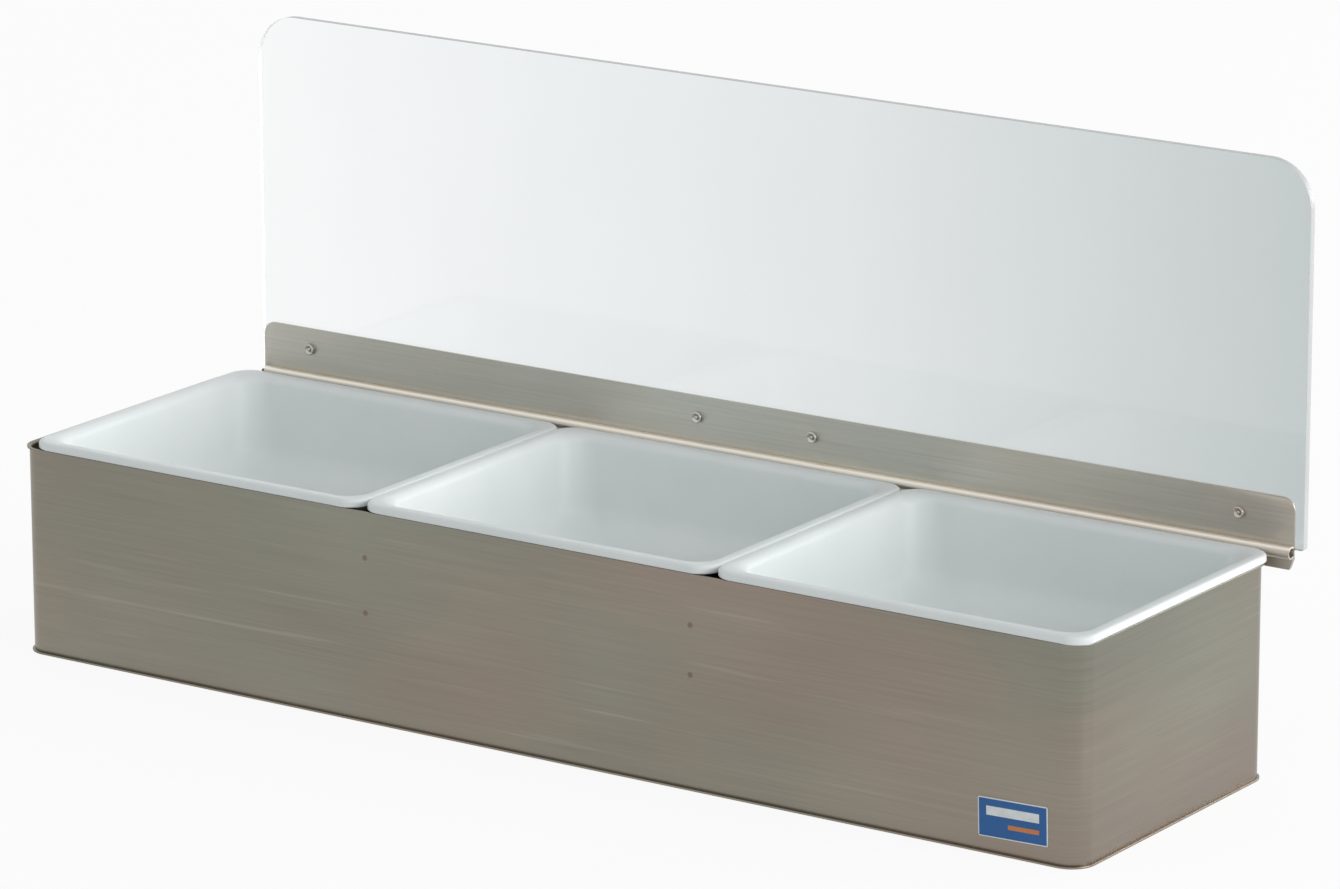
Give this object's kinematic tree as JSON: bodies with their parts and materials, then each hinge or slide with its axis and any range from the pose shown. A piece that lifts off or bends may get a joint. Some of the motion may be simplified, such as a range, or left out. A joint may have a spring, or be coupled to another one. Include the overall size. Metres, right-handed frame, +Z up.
{
  "type": "condiment caddy",
  "caption": "Long steel condiment trough holding lift-out white plastic inserts under one clear acrylic lid, hinged on a rod along the back.",
  "frame": {"origin": "middle of the base sheet's underside, midway between the walls", "axes": "+X along the trough to the end with the label, -Y out of the front wall, +Z up"},
  "size_m": [0.4908, 0.145, 0.2313],
  "materials": {
    "brushed_steel": "horizontally brushed, satin",
    "plain_steel": "mill finish",
    "rivet_metal": "satin",
    "rod_steel": "drawn wire",
    "insert_plastic": "satin",
    "acrylic": "clear, polished",
    "label_blue": "smooth, with a thin pale edge"
  },
  "bodies": {
    "trough": {"wall_band": "brushed_steel", "base_pan": "brushed_steel", "left_divider": "plain_steel", "right_divider": "plain_steel", "left_hinge_bracket": "plain_steel", "middle_hinge_bracket": "plain_steel", "right_hinge_bracket": "plain_steel", "label": "label_blue"},
    "rod": {"hinge_rod": "rod_steel"},
    "lid": {"lid_strip": "brushed_steel", "lid_panel": "acrylic", "lid_rivets": "rivet_metal", "rivet_mandrels": "rod_steel"},
    "left_tub": {"left_insert": "insert_plastic"},
    "middle_tub": {"middle_insert": "insert_plastic"},
    "right_tub": {"right_insert": "insert_plastic"}
  },
  "joints": [
    {"name": "lid_shift", "type": "slide", "parent": "trough", "child": "rod", "axis": [1, 0, 0], "range_m": [-0.014, 0]},
    {"name": "lid_hinge", "type": "hinge", "parent": "rod", "child": "lid", "pos_m": [0.0096, 0.0709, 0.08517], "axis": [-1, 0, 0], "range_deg": [-90, 0]},
    {"name": "left_insert_lift", "type": "slide", "parent": "trough", "child": "left_tub", "axis": [0, 0, 1], "range_m": [0, 0.1]},
    {"name": "middle_insert_lift", "type": "slide", "parent": "trough", "child": "middle_tub", "axis": [0, 0, 1], "range_m": [0, 0.1]},
    {"name": "right_insert_lift", "type": "slide", "parent": "trough", "child": "right_tub", "axis": [0, 0, 1], "range_m": [0, 0.1]}
  ]
}
